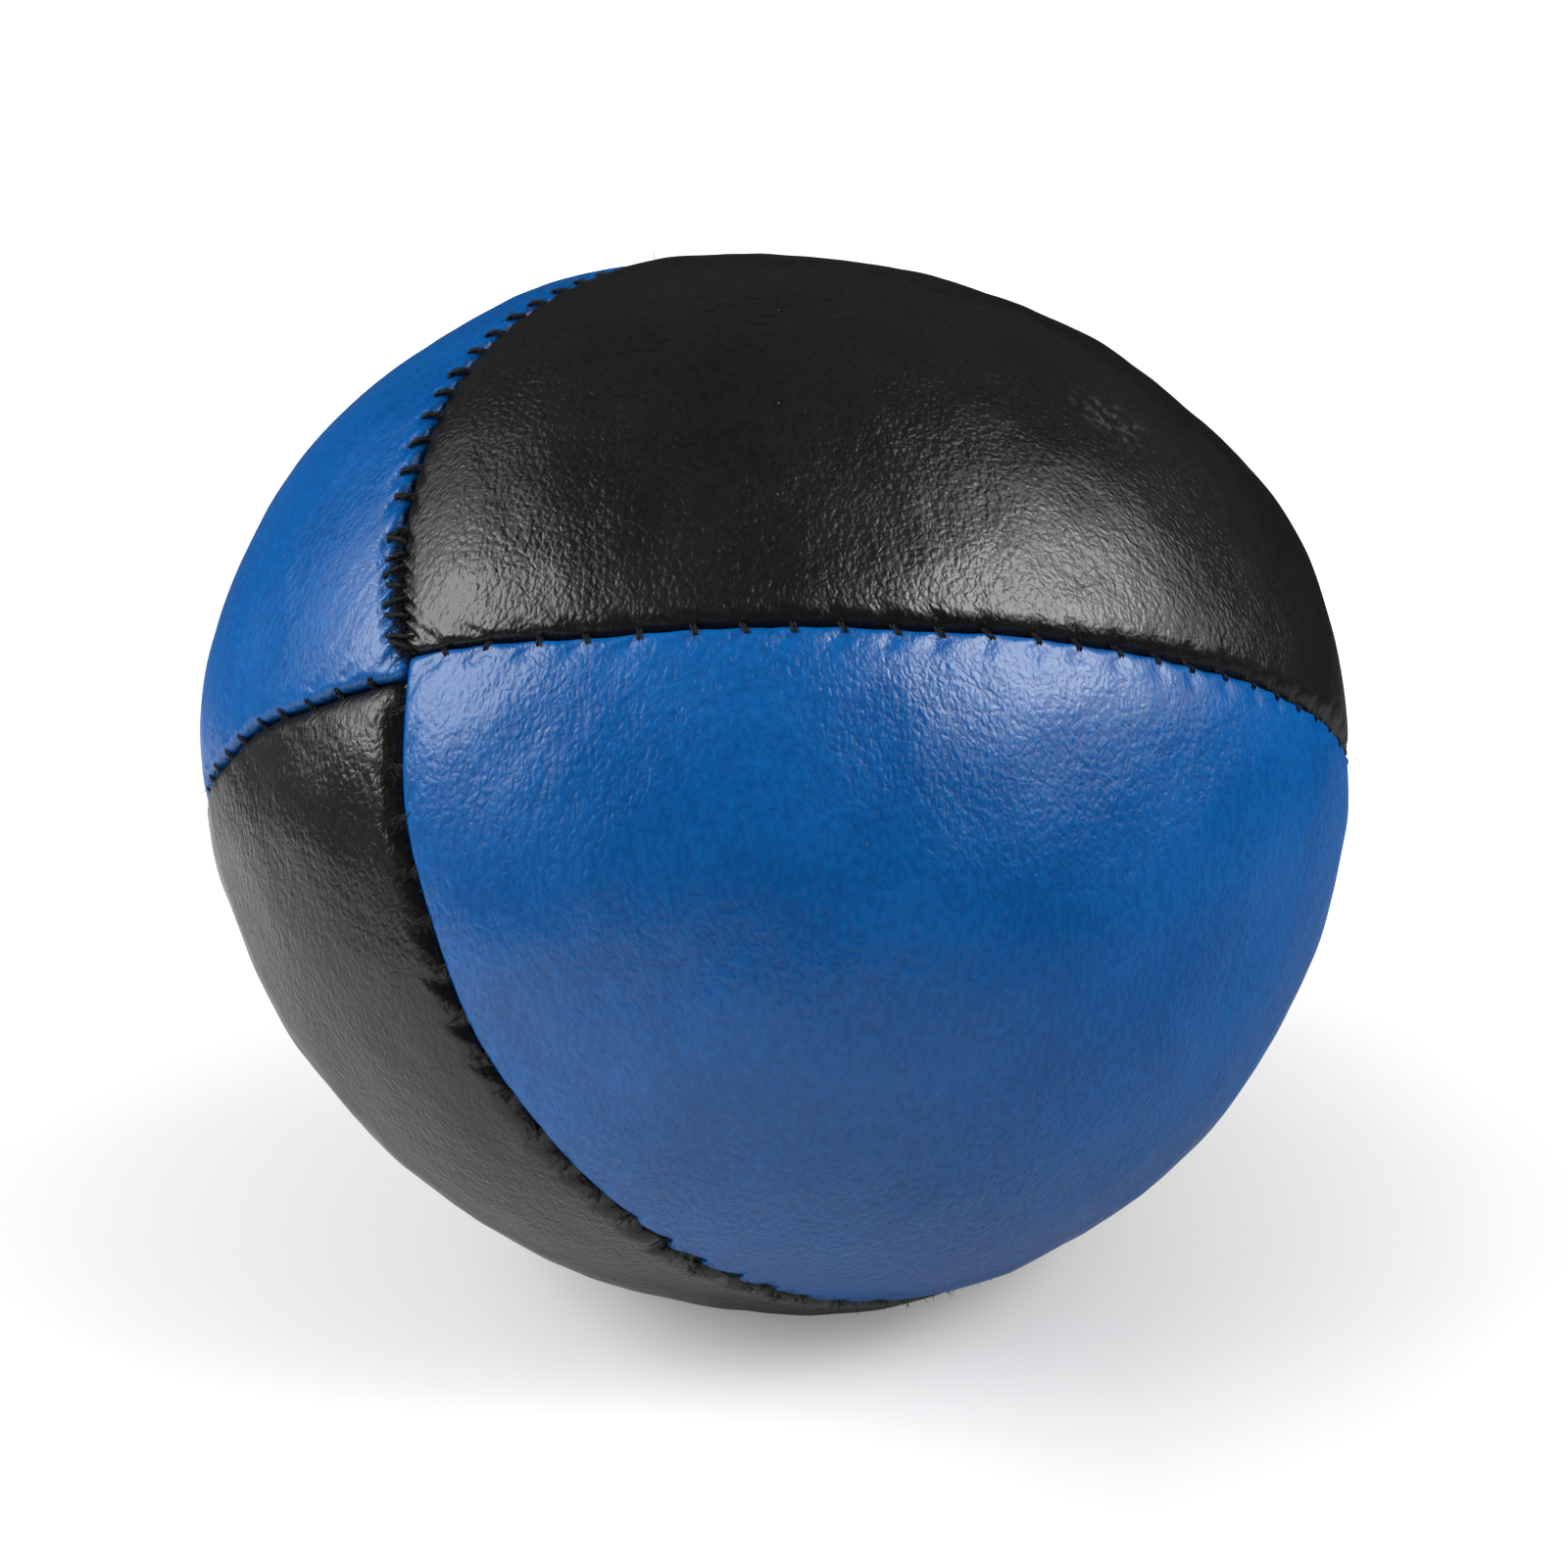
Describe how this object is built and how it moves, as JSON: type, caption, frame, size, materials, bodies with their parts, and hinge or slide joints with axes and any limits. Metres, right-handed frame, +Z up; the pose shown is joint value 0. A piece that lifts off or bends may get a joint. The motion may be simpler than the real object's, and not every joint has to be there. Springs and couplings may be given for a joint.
{
  "type": "juggling ball",
  "caption": "Sewn leather beanbag ball for juggling: lune panels in two alternating colours, stitched face to face, closed by hand and filled with seed.",
  "frame": {"origin": "on the floor, at the middle of the ball's footprint", "axes": "+Z up; -Y is the front, where the pole with the hand-closed seam is in view; +X to the right"},
  "size_m": [0.0666, 0.065, 0.0622],
  "materials": {
    "black_leather": "fine pebbled grain, soft semi-gloss",
    "blue_leather": "fine pebbled grain, soft satin",
    "machine_thread": "twisted polyester, matte",
    "hand_thread": "twisted polyester, slightly fuzzy",
    "millet": "dry seed"
  },
  "bodies": {
    "root": {"black_top_panel": "black_leather", "blue_side_panel": "blue_leather", "black_side_panel": "black_leather", "blue_front_panel": "blue_leather", "right_seam_needle_thread": "machine_thread", "right_seam_bobbin_thread": "machine_thread", "left_seam_needle_thread": "machine_thread", "left_seam_bobbin_thread": "machine_thread", "closing_loop_needle_thread": "machine_thread", "closing_loop_bobbin_thread": "machine_thread", "hand_closing_thread": "hand_thread", "millet_fill": "millet"}
  },
  "joints": []
}
